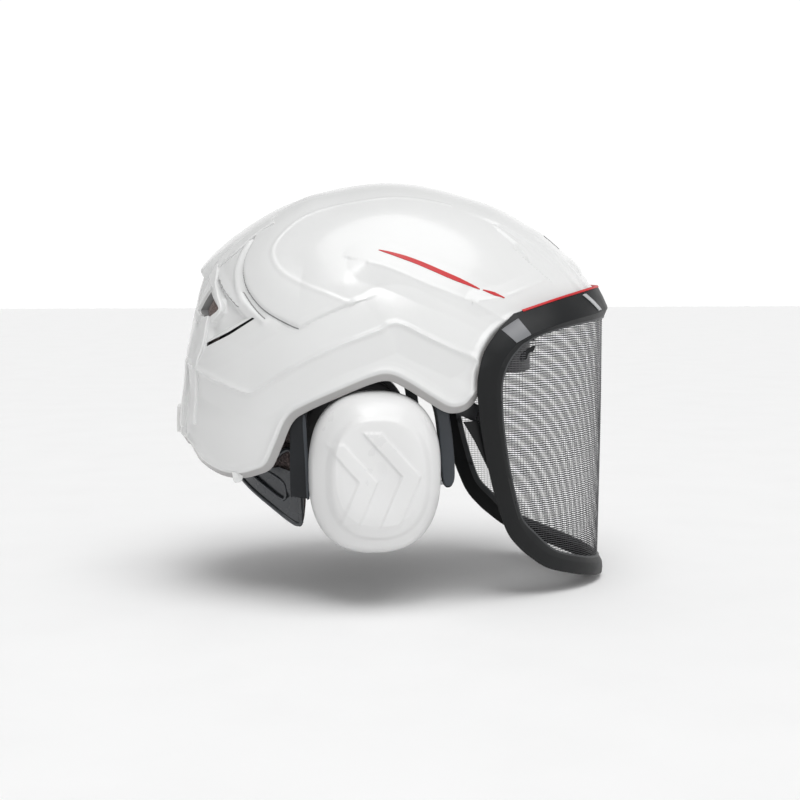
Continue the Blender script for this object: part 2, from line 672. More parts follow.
def build_shell():
    phi, rim = shell_rays()
    outer = np.concatenate(shell_rows(phi, rim, ROWS_FAR))
    n_out = len(outer) // RAYS
    under = smoothstep(4.6, 3.6, rim_gap(outer))
    h, leaf, seam = relief(outer)
    outer = outer + shell_normal(outer) * h[:, None]
    inner = np.concatenate(shell_rows(phi, rim, ROWS_IN))
    n_in = len(inner) // RAYS
    drop = np.maximum(np.minimum(0, lip(rim_gap(inner))) - SHELL_WALL, -RIM_WALL_MOST)
    drop = drop - np.where((inner[:, 0] < -90) & (inner[:, 2] > 30), REAR_EXTRA_WALL, 0)
    inner = inner + shell_normal(inner) * drop[:, None]
    mid = (outer[:RAYS] + inner[:RAYS]) / 2 - np.array([0, 0, 0.25])
    crown_out, _ = shell_surface([(0, 0, 160)])
    crown_in = on_shell([(0, 0, 160)]) - [[0, 0, SHELL_WALL]]
    verts = np.concatenate([outer, inner, mid, crown_out, crown_in])
    a, b = len(outer), len(outer) + len(inner)
    faces = grid_faces(n_out, RAYS, close_cols=True)
    faces += [f[::-1] for f in grid_faces(n_in, RAYS, close_cols=True, start=a)]
    for j in range(RAYS):
        k = (j + 1) % RAYS
        faces.append((j, b + j, b + k, k))
        faces.append((b + j, a + j, a + k, b + k))
        top = (n_out - 1) * RAYS
        faces.append((top + j, top + k, b + RAYS))
        top = a + (n_in - 1) * RAYS
        faces.append((top + k, top + j, b + RAYS + 1))
    ob = make_piece("shell", verts, faces, "helmet", "shell_white", MAT["shell_seamed"])
    stored = {"leaf_side": leaf, "leaf_gap": np.abs(leaf), "slot_side": seam,
              "slot_gap": np.abs(seam), "under": under}
    for key, value in stored.items():
        full = np.full(len(verts), 0.6 if key == "under" else 6.0, np.float32)
        full[:a] = value
        ob.data.attributes.new(key, "FLOAT", "POINT").data.foreach_set("value", full)
    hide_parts("outer_shell")
    return ob


def prism_between(name, poly_a, poly_b):
    """Closed prism between two matching rings of points (mm)."""
    n = len(poly_a)
    verts = list(poly_a) + list(poly_b)
    faces = [tuple(range(n - 1, -1, -1)), tuple(range(n, 2 * n))]
    faces += [(i, (i + 1) % n, n + (i + 1) % n, n + i) for i in range(n)]
    me = bpy.data.meshes.new(name)
    me.from_pydata([tuple(c * MM for c in v) for v in verts], [], faces)
    ob = bpy.data.objects.new(name, me)
    bpy.context.scene.collection.objects.link(ob)
    fix_normals(ob)
    return ob


# Openings: rear window as (|y|, z), rear slit as (x, z), and the slots in the crown's front.
REAR_WINDOW = [(39, 76.5), (32, 64.5), (37, 61), (48.5, 59.5), (55, 66)]
REAR_SLOT = [(-125, 41.6), (-110, 49.8), (-94.0, 60.4), (-95.5, 60.9), (-111, 51.2),
             (-125, 43.8)]
FRONT_SLOT_AT = (107, 25, 108)
FRONT_SLOT_HALF = (7, 2.6)
FRONT_SLOT_TILT = math.radians(42)
FRONT_SLOT_REACH = 12


def front_slot_ring(side, reach):
    """The front slot's outline, moved along the slot's own axis by reach."""
    x, y, z = FRONT_SLOT_AT
    a, b = FRONT_SLOT_HALF
    c, s = math.cos(FRONT_SLOT_TILT), math.sin(FRONT_SLOT_TILT)
    return [(x + u * c + reach * s, side * y + v, z - u * s + reach * c)
            for u, v in ((-a, -b), (a, -b), (a, b), (-a, b))]


def cut_shell(ob):
    """Cut the rear openings and the front slots through the shell."""
    cutters = []
    for side in (-1, 1):
        cutters.append(prism_between("cut", [(-150, side * u, v) for u, v in REAR_WINDOW],
                                     [(-96, side * u, v) for u, v in REAR_WINDOW]))
        cutters.append(prism_between("cut", [(x, side * 96, z) for x, z in REAR_SLOT],
                                     [(x, side * 44, z) for x, z in REAR_SLOT]))
        cutters.append(prism_between("cut", front_slot_ring(side, -FRONT_SLOT_REACH),
                                     front_slot_ring(side, FRONT_SLOT_REACH)))
    for cutter in cutters:
        m = ob.modifiers.new("cut", "BOOLEAN")
        m.operation = "DIFFERENCE"
        m.solver = "MANIFOLD"
        m.object = cutter
    apply_modifiers(ob)
    for cutter in cutters:
        bpy.data.objects.remove(cutter)
    ob.data.polygons.foreach_set("use_smooth", [True] * len(ob.data.polygons))
    ob.data.set_sharp_from_angle(angle=math.radians(38))


shell = build_shell()
cut_shell(shell)


# Stations to each side that an even band averages its height over.
BAND_BLUR = 4


def surface_band(name, path, width, height, slot, material, base, chamfer, even=False):
    """A flat raised band along a line on the shell; even runs straight over small steps."""
    line = catmull(path, 6)
    pts, n = shell_surface(line)
    if even:
        plain = on_shell(line)
        rise = np.pad(relief(plain)[0], BAND_BLUR, mode="edge")
        span = 2 * BAND_BLUR + 1
        rise = np.convolve(rise, np.ones(span) / span, mode="valid")
        pts = plain + n * rise[:, None]
    t = unit(np.gradient(pts, axis=0))
    across = unit(np.cross(n, t))
    w = np.interp(np.linspace(0, 1, len(pts)), np.linspace(0, 1, len(width)), width) / 2
    rails = []
    for f, up in ((-1, base), (-1, height - chamfer), (-1, height), (1, height),
                  (1, height - chamfer), (1, base)):
        inset = chamfer if up == height else 0.0
        off = across * (f * np.maximum(w - inset, 0.05))[:, None]
        if even:
            q, m = pts + off, n
        else:
            q, m = shell_surface(pts + off)
        rails.append(q + m * up)
    return swept_piece(name, rails, "helmet", slot, material, 35)


def flip(path, side):
    """The path, drawn for the right side, moved to the given side."""
    return [(x, -side * y, z) for x, y, z in path]


def accent(side):
    stripe = flip([(-15, -80, 103), (5, -84, 97), (28, -87.5, 88.5), (49, -88, 79.5)], side)
    a = surface_band("accent_stripe_" + SIDE_NAME[side], stripe, [0.6, 3.0, 3.4, 3.4, 0.8], 0.35,
                     "accent_red", MAT["accent_red"], base=-0.8, chamfer=0.15)
    small = flip([(51, -87.5, 78.8), (58, -86, 75.5), (64, -84.5, 72)], side)
    surface_band("accent_dash_" + SIDE_NAME[side], small, [0.6, 2.6, 0.6], 0.35,
                 "accent_red", MAT["accent_red"], base=-0.8, chamfer=0.15)
    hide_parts("accent_stripes")


mirrored_pair(accent)


def rear_ribs(side):
    paths = {
        "rail": ([(-80, -40, 121), (-91, -38, 113.5), (-103, -37, 104.5), (-113, -32, 97),
                  (-120.5, -27, 90)], [7, 8.5, 9, 9, 10], 1.6),
        "post_top": ([(-120, -29, 91), (-119.5, -36, 85.5), (-119, -40, 79)],
                     [11, 9, 8], 2.0),
        "post_rear": ([(-120.5, -38, 81), (-125, -34, 72.5), (-130.5, -28.5, 63),
                       (-128, -37, 58)], [4.5, 4, 4.5, 6], 2.2),
        "post_fore": ([(-118.5, -41, 81), (-116.5, -50, 73), (-115.5, -57.5, 65.5),
                       (-120, -52.5, 58.5)], [4.5, 3.6, 3.4, 5], 2.2),
        "post_low": ([(-124, -44, 59), (-126, -47.5, 50), (-127, -49, 42), (-129, -47, 32),
                      (-131, -46.5, 18), (-132.5, -46.5, 4), (-131, -47, -10)],
                     [10, 7, 6.5, 7, 7, 7, 6], 1.8),
        "edge_low": ([(-137, -24, 30), (-140, -24, 16), (-141, -24.5, 2), (-139, -25, -14)],
                     [5, 5.5, 5.5, 5], 1.4),
    }
    for key, (path, width, high) in paths.items():
        surface_band("rear_%s_%s" % (key, SIDE_NAME[side]), flip(path, side), width, high,
                     "shell_white", MAT["shell_white"], base=-2.4, chamfer=0.7, even=True)


mirrored_pair(rear_ribs)


def plate(name, outline, y0, y1, body, slot, side, width=0.9):
    """Flat part cut to a side-view outline, with rounded edges."""
    n = len(outline)
    verts = [(x, side * y, z) for y in (y0, y1) for x, z in outline]
    faces = [tuple(range(n)), tuple(range(2 * n - 1, n - 1, -1))]
    faces += [(i, n + i, n + (i + 1) % n, (i + 1) % n) for i in range(n)]
    ob = make_piece(name, verts, faces, body, slot, MAT[slot])
    fix_normals(ob)
    bevel(ob, width, 3, 35)
    ob.data.set_sharp_from_angle(angle=math.radians(40))
    return ob


def rim_tab(side):
    """Small moulded tab that hangs from the rim behind each ear."""
    tab = [(-109.5, -38), (-108.4, -43.6), (-107.4, -44.8), (-104.4, -44.8), (-103.0, -43.6),
           (-101.5, -38)]
    ob = plate("rim_tab_" + SIDE_NAME[side], tab, 73.2, 76.6, "helmet", "shell_white", side, 0.5)
    if side < 0:
        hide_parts("rim_tabs")


mirrored_pair(rim_tab)


# ---------------------------------------------------------------- visor
VISOR_X = 40.0
VISOR_D = 110.5
VISOR_N = 2.1


def visor_half(z):
    return 108.5 - 22.0 * np.maximum(0.0, (10.0 - z) / 115.0) ** 1.5


def on_visor(p, inset=0.0):
    """The point moved out from the visor's upright axis onto its curved sheet."""
    p = np.atleast_2d(np.asarray(p, float)).copy()
    dx = p[:, 0] - VISOR_X
    r = ((np.abs(dx) / (VISOR_D - inset)) ** VISOR_N
         + (np.abs(p[:, 1]) / (visor_half(p[:, 2]) - inset)) ** VISOR_N) ** (1 / VISOR_N)
    p[:, 0] = VISOR_X + dx / r
    p[:, 1] = p[:, 1] / r
    return p


def visor_out(p):
    """Outward direction of the visor's sheet, flat in z."""
    p = np.atleast_2d(p)
    e = 0.5
    def level(q):
        return ((np.abs(q[:, 0] - VISOR_X) / VISOR_D) ** VISOR_N
                + (np.abs(q[:, 1]) / visor_half(q[:, 2])) ** VISOR_N)
    g = np.zeros_like(p)
    for k in (0, 1):
        o = np.eye(3)[k] * e
        g[:, k] = level(p + o) - level(p - o)
    return unit(g)


# Stations round the right half of the frame, from the top centre to the bottom centre:
# back edge, crease and window edge, each as (x, |y|, z).
EDGE = [(143, 0, 79.5), (141.5, 22, 79.5), (133, 43, 79), (118, 61, 76), (100, 78, 72),
        (84, 86.5, 67.5), (70, 93, 63.5), (60, 98, 54.5), (50, 102.5, 40.5), (45.5, 105.5, 27),
        (44.7, 108, 17), (45.5, 108, 5), (47, 107, -8.5), (52, 103.5, -31), (58, 98.8, -53),
        (64, 94, -70), (69, 90.5, -80.5), (76, 86.5, -89), (84, 82.5, -96.2),
        (97, 75, -105.3), (115, 63.5, -111.7), (133, 45, -117.5), (146, 22, -121),
        (150.5, 0, -122.3)]
CREASE = [(150.5, 0, 66), (147.5, 27, 65.4), (137, 56, 63.7), (120, 77, 61), (104, 89, 58),
          (91, 97, 54.3), (79.8, 102, 50), (70, 105, 45.2), (62, 106.8, 36.2),
          (57.8, 107.5, 26), (56.7, 107.5, 16), (57.2, 107, 4), (58.7, 105.5, -9),
          (63, 102, -31), (68.8, 97, -53), (74, 92, -69), (79, 88.5, -78),
          (87, 83, -87.5), (97, 77, -95.5), (107, 70, -100.4), (119, 62, -104.3),
          (134, 44, -109.3), (146, 22, -113.2), (150.5, 0, -114.5)]
WINDOW = [(150.5, 0, 60), (148, 25, 59.6), (138, 54, 58.8), (120, 77, 57), (104, 89, 54.6),
          (92, 96.5, 51.8), (83, 101.5, 48.8), (75, 103.6, 44.6), (67.4, 105.5, 36.5),
          (62.4, 106.7, 26.5), (60.6, 107, 16), (61.1, 106.5, 4), (62.4, 105, -9),
          (66.4, 101.4, -31), (72, 96, -53), (76.8, 91.5, -67.5), (81, 88.8, -74),
          (88, 84.8, -80.8), (96, 79, -88.8), (105, 73, -95.2), (119, 63.5, -100.3),
          (133.5, 46, -105.3), (146, 22, -109), (150.5, 0, -110.4)]
CORNER = (6, 7)
SUB = 6


def rail(points, project):
    """Smooth line through the stations, with a straight run across the corner facet."""
    pts = [np.array(p, float) for p in points]
    first = catmull([(p[0], -p[1], p[2]) for p in pts[1:2]] + pts[:CORNER[0] + 1], SUB)[SUB:-1]
    a, b = pts[CORNER[0]], pts[CORNER[1]]
    flat = np.array([a + (b - a) * k / SUB for k in range(SUB)])
    tail = pts[CORNER[1]:]
    tail = catmull(tail + [tail[-2] * [1, -1, 1]], SUB)[:-SUB]
    line = np.concatenate([first, flat, tail])
    if project:
        line = on_visor(line)
    return line


def around(line):
    """Whole loop from a half line: right side down, then left side back up."""
    right = line * [1, -1, 1]
    left = line[::-1][1:-1]
    return np.concatenate([right, left])


def build_frame():
    edge = rail(EDGE, False)
    crease = rail(CREASE, True)
    window = rail(WINDOW, True)
    top = smoothstep(9.5 * SUB, 8.0 * SUB, np.arange(len(edge)))[:, None]
    side_edge = on_visor(edge)
    edge = edge * top + side_edge * (1 - top)
    out = visor_out(crease)
    middle = (edge + crease) / 2
    face = unit(np.cross(np.gradient(crease, axis=0), edge - crease))
    face = face * np.sign(np.einsum("ij,ij->i", face, out + [0, 0, 0.3]))[:, None]
    middle = middle + face * 0.35
    near_edge = edge + (crease - edge) * 0.07 + face * 0.15
    near_crease = crease + (edge - crease) * 0.05 + face * 0.05
    soft_crease = crease + (window - crease) * 0.08 - out * 0.10
    sill = window - out * 2.3
    inner = window - out * 3.3
    inner_crease = crease - out * 3.2 - (window - crease) * 0.2
    inner_mid = middle - face * 2.6
    inner_edge = edge - face * 1.9 + (crease - edge) * 0.04
    edge_round = edge - face * 0.9 - (crease - edge) * 0.02
    rails = [edge_round, edge, near_edge, middle, near_crease, soft_crease, sill, inner,
             inner_crease, inner_mid, inner_edge]
    ob = swept_piece("visor_frame_moulding", [around(r) for r in rails], "visor",
                     "frame_black", MAT["frame_black"], 28, closed=True)
    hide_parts("visor_frame")
    return edge, crease, window, face, out


edge, crease, window, face_dir, out_dir = build_frame()


PATCH_UNDER = 0.35


def patch(name, a, b, lift, slot, side):
    """Thin plate between two lines of points, with a soft edge."""
    s = np.array([1, side, 1])
    rows = []
    for f in (0.0, 0.06, 0.5, 0.94, 1.0):
        up = lift * (0.15 if f in (0.0, 1.0) else 1.0)
        rows.append((a + (b - a) * f + up) * s)
    low = [(a + (b - a) * f - lift * PATCH_UNDER) * s for f in (1.0, 0.0)]
    swept_piece(name, rows + low, "visor", slot, MAT[slot], 40)


def at(line, k):
    """Point of a fine line at a fractional index."""
    i = min(int(k), len(line) - 2)
    return line[i] + (line[i + 1] - line[i]) * (k - i)


def frame_trims(side):
    """Light corner facet, light slanted stripe and dark gusset of one side."""
    name = SIDE_NAME[side]
    run = slice(CORNER[0] * SUB, CORNER[1] * SUB + 1)
    e, c = edge[run], crease[run]
    lift = face_dir[run] * 0.7
    grow = np.linspace(0.22, 0.10, len(e))[:, None]
    patch("corner_facet_" + name, e + (c - e) * grow, e + (c - e) * 0.97, lift,
          "retainer_grey", side)
    rows = []
    for half, up in ((-0.09, 0.1), (-0.09, 0.75), (0.09, 0.75), (0.09, 0.1)):
        row = []
        for f in np.linspace(0.17, 0.95, 10):
            k = (2.82 - 0.72 * f + half) * SUB
            bulge = 0.35 * (1 - abs(2 * f - 1)) + up
            row.append(at(edge, k) * (1 - f) + at(crease, k) * f + at(face_dir, k) * bulge)
        rows.append(np.array(row) * [1, side * 1.0, 1])
    swept_piece("facet_stripe_" + name, rows, "visor", "clip_white", MAT["stripe_grey"])
    fin = [(36.5, -4.5), (47.0, -4.0), (50.5, -16), (54.5, -34), (52.8, -35), (44, -17)]
    plate("visor_gusset_" + name, fin, 99.5, 101.5, "visor", "frame_black", side, 0.5)
    latch = catmull([(77.5, 41.0), (82.5, 43.2), (81.8, 40.0), (78.6, 38.5), (77.2, 34.8),
                     (73.5, 33.5), (73.8, 37.5)], 4, closed=True)
    y = visor_y_at(79.0, 40.0, 2.9)
    plate("visor_latch_" + name, latch, y - 2.2, y, "visor", "frame_black", side, 0.6)


def visor_y_at(x, z, inset):
    t = 1 - ((x - VISOR_X) / (VISOR_D - inset)) ** VISOR_N
    return float((visor_half(z) - inset) * t ** (1 / VISOR_N))


mirrored_pair(frame_trims)


def build_trim():
    """Red strip along the facet's back edge, on both sides in one piece."""
    run = slice(0, int(5.75 * SUB))
    e, c, f = edge[run], crease[run], face_dir[run]
    rows = []
    for a, b in ((-0.02, -0.4), (-0.035, 0.4), (0.015, 0.7), (0.055, 0.55), (0.06, -0.3)):
        rows.append(e + (c - e) * a + f * b)
    rows = [np.concatenate([(r * [1, -1, 1])[::-1], r[1:]]) for r in rows]
    ob = swept_piece("visor_top_trim", rows, "visor", "accent_red", MAT["accent_red"], 50)
    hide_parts("visor_trim")


build_trim()


def window_line(grow, inset):
    """The window's outline moved towards its middle by grow."""
    t = unit(np.gradient(window, axis=0))
    into = unit(np.cross(out_dir, t))
    mid = np.array([110.0, 60.0, -25.0])
    into = into * np.sign(np.einsum("ij,ij->i", into, mid - window))[:, None]
    return on_visor(window + into * grow, inset)


def build_border():
    rails = []
    for grow, inset in ((-2.5, 3.0), (0.0, 2.1), (1.1, 2.4), (1.3, 3.4), (1.1, 5.2),
                        (-2.5, 5.2)):
        rails.append(window_line(grow, inset))
    ob = swept_piece("mesh_border", [around(r) for r in rails], "visor", "retainer_grey",
                     MAT["border_dark"], 40, closed=True)
    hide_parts("mesh_retainer")


build_border()

WIRE_PITCH = 1.5
WIRE_R = 0.25
CROSS_PITCH = 2.3
CROSS_R = 0.09
MESH_INSET = 3.9


def sheet_point(turn, z, inset):
    c, s = np.abs(np.cos(turn)), np.abs(np.sin(turn))
    r = (c ** VISOR_N + s ** VISOR_N) ** (-1 / VISOR_N)
    x = VISOR_X + (VISOR_D - inset) * r * c
    y = np.sign(turn) * (visor_half(z) - inset) * r * s
    return np.stack([x, y, z * np.ones_like(x)], axis=-1)


def tube(path, out, radius, lift):
    """Square tube along a path; out is its outward direction at each point."""
    t = unit(np.gradient(path, axis=0))
    across = np.cross(out, t)
    mid = path + out * lift
    return [mid + out * radius, mid + across * radius, mid - out * radius,
            mid - across * radius]


def build_mesh():
    """Woven wire mesh: one loop of square wire per row and per column."""
    outline = window_line(-1.2, MESH_INSET)
    poly = [(p[0], p[2]) for p in outline]
    low = min(v for _, v in poly)
    high = max(v for _, v in poly)
    turns = np.radians(np.linspace(-84, 84, 673))
    verts, faces = [], []

    def inside(p):
        return polygon_gap(p[:, 0], p[:, 2], poly + [(400.0, poly[-1][1]), (400.0, poly[0][1])]) > 0

    def add(path, radius, lift):
        v, f = swept(tube(path, visor_out(path), radius, lift))
        base = sum(len(q) for q in verts)
        verts.append(v)
        faces.extend([tuple(base + i for i in g) for g in f])

    z = low + 0.4
    while z < high:
        p = sheet_point(turns, np.full(len(turns), z), MESH_INSET)
        keep = np.nonzero(inside(p))[0]
        if len(keep) > 8:
            a, b = turns[keep[0]], turns[keep[-1]]
            t = np.linspace(a, b, 52)
            add(sheet_point(t, np.full(len(t), z), MESH_INSET), WIRE_R, 0.12)
        z += WIRE_PITCH
    heights = np.linspace(low, high, 240)
    row = sheet_point(turns, np.full(len(turns), -20.0), MESH_INSET)
    run = np.concatenate([[0], np.cumsum(np.linalg.norm(np.diff(row, axis=0), axis=1))])
    for s in np.arange(1.0, run[-1], CROSS_PITCH):
        t = np.interp(s, run, turns)
        p = sheet_point(np.full(240, t), heights, MESH_INSET)
        keep = np.nonzero(inside(p))[0]
        if len(keep) > 8:
            zz = np.linspace(heights[keep[0]], heights[keep[-1]], 12)
            add(sheet_point(np.full(12, t), zz, MESH_INSET), CROSS_R, -0.12)
    ob = make_piece("visor_wire_mesh", np.concatenate(verts), faces, "visor", "mesh_grey",
                    MAT["mesh_grey"])
    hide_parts("visor_mesh")


build_mesh()


# ---------------------------------------------------------------- ear muffs
CUP = [(84, -19, -37, 41.5, 51.5), (92, -19, -36.8, 42, 52), (101, -18.8, -36, 41.2, 51),
       (108, -18.5, -34.8, 38.5, 47.5), (114, -18.2, -33.2, 33.5, 41.5),
       (118, -18, -32, 27.5, 34.5)]
# Bent bands on the cup's face: front tip (x, z), then how far back and how far up or down
# each arm runs from it.
CHEVRON_WIDTH = 13.0
CHEVRON_BANDS = [((8, -36), (25, 28), (14, 32)), ((-19, -39), (21, 24), (12, 28))]
# Raised face of the cup, a rounded oval: centre (x, z), half width, half height, roundness.
FACE_CENTRE = (-18.5, -37.5)
FACE_HALF = (33.0, 40.0)
FACE_POWER = 2.4


def chevron(tip, up, down):
    x, z = tip
    front = [(x - up[0], z + up[1]), (x, z), (x - down[0], z - down[1])]
    return front + [(u - CHEVRON_WIDTH, v) for u, v in front[::-1]]


def face_oval(n=48):
    out = []
    for t in np.linspace(0, 2 * math.pi, n, endpoint=False):
        c, s = math.cos(t), math.sin(t)
        r = (abs(c) ** FACE_POWER + abs(s) ** FACE_POWER) ** (-1 / FACE_POWER)
        out.append((FACE_CENTRE[0] + FACE_HALF[0] * r * c, FACE_CENTRE[1] + FACE_HALF[1] * r * s))
    return out


CHEVRONS = [chevron(*band) for band in CHEVRON_BANDS]
PLATEAU = face_oval()


def cup_profile():
    """Rings of the cup from the rim to the middle of its face: |y|, centre and radii."""
    rows = catmull(CUP, 7)
    face = [(118.9, -18, -32, 23, 29), (119.4, -18, -32, 17, 21), (119.6, -18, -32, 10, 13),
            (119.7, -18, -32, 4, 5)]
    return np.concatenate([rows, catmull([CUP[-1]] + face, 9)[1:]])


def cup_ring(row, n):
    y, cx, cz, a, b = row
    t = np.linspace(0, 2 * math.pi, n, endpoint=False)
    c, s = np.cos(t), np.sin(t)
    r = (np.abs(c) ** 2.5 + np.abs(s) ** 2.5) ** (-1 / 2.5)
    return np.stack([cx + a * r * c, np.full(n, y), cz + b * r * s], axis=1)


def cup_relief(p):
    """Height in mm of the raised face, its rounded edge and the two bent bands."""
    u, v = p[:, 0], p[:, 2]
    inside = polygon_gap(u, v, PLATEAU)
    low_left = smoothstep(-10, 25, -(u + 18) * 0.75 - (v + 37) * 0.65)
    h = (2.2 + 2.4 * low_left) * smoothstep(-0.8, 4.4, inside) - 0.8 * smoothstep(10, 30, inside)
    for poly in CHEVRONS:
        d = polygon_gap(u, v, poly)
        h += 1.1 * smoothstep(0.0, 1.0, d)
    return h * smoothstep(99, 107, p[:, 1])


def build_cup(side):
    name = SIDE_NAME[side]
    n = 200
    rows = cup_profile()
    fine = []
    for a, b in zip(rows, rows[1:]):
        gap = max(abs(a[0] - b[0]), abs(a[3] - b[3]))
        k = max(1, int(round(gap / 0.8)))
        fine += [a + (b - a) * i / k for i in range(k)]
    fine.append(rows[-1])
    outer = np.concatenate([cup_ring(r, n) for r in fine])
    outer[:, 1] += cup_relief(outer)
    back = [np.array([y - (2.6 if i else 0.0), cx, cz, a - 3, b - 3])
            for i, (y, cx, cz, a, b) in enumerate(CUP)]
    inner = np.concatenate([cup_ring(r, n) for r in back])
    verts = np.concatenate([outer, inner, [[-18, 119.9, -32]], [[-18, 115.4, -32]]])
    no, ni = len(fine), len(back)
    faces = grid_faces(no, n, close_cols=True)
    faces += [f[::-1] for f in grid_faces(ni, n, close_cols=True, start=no * n)]
    total = (no + ni) * n
    for j in range(n):
        k = (j + 1) % n
        faces.append((j, no * n + j, no * n + k, k))
        faces.append(((no - 1) * n + j, (no - 1) * n + k, total))
        faces.append((total - n + k, total - n + j, total + 1))
    verts[:, 1] *= side
    ob = make_piece("ear_cup_" + name, verts, faces, "ear_cup_" + name, "cup_white",
                    MAT["cup_white"], sharp=50)
    fix_normals(ob)
    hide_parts("ear_cup_shell_" + name)


mirrored_pair(build_cup)


# The two pins that a cup rocks on, through the yoke's arms.
YOKE_Y = 87.5
CUP_AXIS_Z = -45
CUP_PIN_SPANS = ((-71.0, -58.0), (20.0, 31.5))
PIN_R = 1.5
PIN_END_R = 1.1


def build_yoke(side):
    """Bent wire-like yoke: dark body, hinge knuckle and a slate panel on the front arm."""
    name = SIDE_NAME[side]
    body = "muff_yoke_" + name
    outer = catmull([(-72.4, -50.5), (-72.4, -22), (-71.6, 2), (-65, 13), (-52, 21.5),
                     (-36, 26.4), (-12, 26.6), (8, 25), (20, 19), (26, 8), (29.5, -10),
                     (31.6, -30), (32.2, -43), (30.5, -47.6), (26.6, -47.4), (24.2, -40),
                     (21.8, -14), (19, 3), (13, 14.5), (4, 21.2), (-12, 22.4), (-30, 22.2),
                     (-45, 17), (-56, 9.5), (-61.4, 0.5), (-61.6, -24), (-60.2, -51.5),
                     (-62.5, -53.8), (-70.5, -52.4)], 4, closed=True)
    ob = plate("yoke_" + name, outer, 85.5, 89.5, body, "yoke_slate", side, 1.1)
    ob.data.materials[0] = MAT["yoke_dark"]
    ring = catmull([(85.2, 25.0), (90.8, 25.0), (92.4, 28.6), (92.0, 33.2), (89.6, 35.4),
                    (86.4, 35.4), (84.0, 33.2), (83.6, 28.6)], 3, closed=True)
    middle = ring.mean(axis=0)
    rails = []
    for p in ring:
        small = middle + (p - middle) * 0.86
        rails.append(np.array([(-23.3, side * small[0], small[1]),
                               (-22.6, side * p[0], p[1]), (-1.4, side * p[0], p[1]),
                               (-0.7, side * small[0], small[1])]))
    swept_piece("yoke_knuckle_" + name, rails, body, "yoke_slate", MAT["yoke_dark"], 40)
    panel = catmull([(20.3, 6), (27.2, 6), (30.2, -8), (32.2, -25), (32.9, -38), (32.2, -44.5),
                     (29.8, -46.8), (26.4, -46.4), (24.6, -38), (23.4, -22), (21.8, -6)],
                    4, closed=True)
    plate("yoke_panel_" + name, panel, 89.0, 90.9, body, "yoke_slate", side, 0.7)
    strip = catmull([(-64.6, -3), (-62.4, -3), (-61.2, -28), (-60.6, -51.5), (-62.2, -52.4),
                     (-63.2, -28)], 4, closed=True)
    plate("yoke_strip_" + name, strip, 89.0, 89.8, body, "yoke_slate", side, 0.3)
    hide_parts("muff_yoke_" + name)
    pins = []
    for x0, x1 in CUP_PIN_SPANS:
        turn = np.linspace(0, 2 * math.pi, 16, endpoint=False)
        stations = ((x0, PIN_END_R), (x0 + 0.4, PIN_R), (x1 - 0.4, PIN_R), (x1, PIN_END_R))
        rails = [np.array([(x, side * YOKE_Y + r * c, CUP_AXIS_Z + r * d) for x, r in stations])
                 for c, d in zip(np.cos(turn), np.sin(turn))]
        pins.append(swept_piece("cup_pin_%s_%d" % (name, len(pins)), rails, body,
                                "pin_steel", MAT["pin_steel"], 30))
    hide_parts("cup_pivot_pins_" + name)


mirrored_pair(build_yoke)


# ---------------------------------------------------------------- neck cradle trim
def cradle_bead(side, key, outline, radius, lift):
    """Rounded edge bead that follows a side-view outline on the cradle's wall."""
    line = catmull(outline, 5, closed=True)
    x, z = line[:, 0], line[:, 1]
    t = np.clip(1 - (np.abs(x + 30.0) / 80.0) ** 2.2, 0.02, 1) ** (1 / 2.2)
    path = np.stack([x, side * 72.0 * t, z], axis=1)
    out = unit(np.stack([(x + 30) / 80.0 ** 2, side * np.abs(path[:, 1]) / 72.0 ** 2,
                         np.zeros(len(x))], axis=1))
    tangent = unit(np.roll(path, -1, axis=0) - np.roll(path, 1, axis=0))
    across = np.cross(out, tangent)
    rails = []
    for k in range(8):
        a = 2 * math.pi * k / 8
        rails.append(path + out * (lift + radius * 0.8 * math.sin(a))
                     + across * radius * math.cos(a))
    swept_piece("cradle_%s_%s" % (key, SIDE_NAME[side]), rails, "neck_cradle",
                "cradle_grey", MAT["cradle_grey"], 60, closed=True)


def cradle_trims(side):
    cradle_bead(side, "edge", [(-103.5, -38), (-104, -46.5), (-98, -53), (-84, -63.5),
                               (-72.5, -72), (-67, -74.5), (-65, -71), (-66.5, -44),
                               (-71.5, -26), (-80, -30), (-92, -38)], 1.5, 0.1)
    cradle_bead(side, "slot", [(-97, -43.5), (-88, -51), (-79, -57.5), (-75.5, -58),
                               (-75, -52), (-78, -46), (-90, -40)], 1.0, 0.1)


mirrored_pair(cradle_trims)


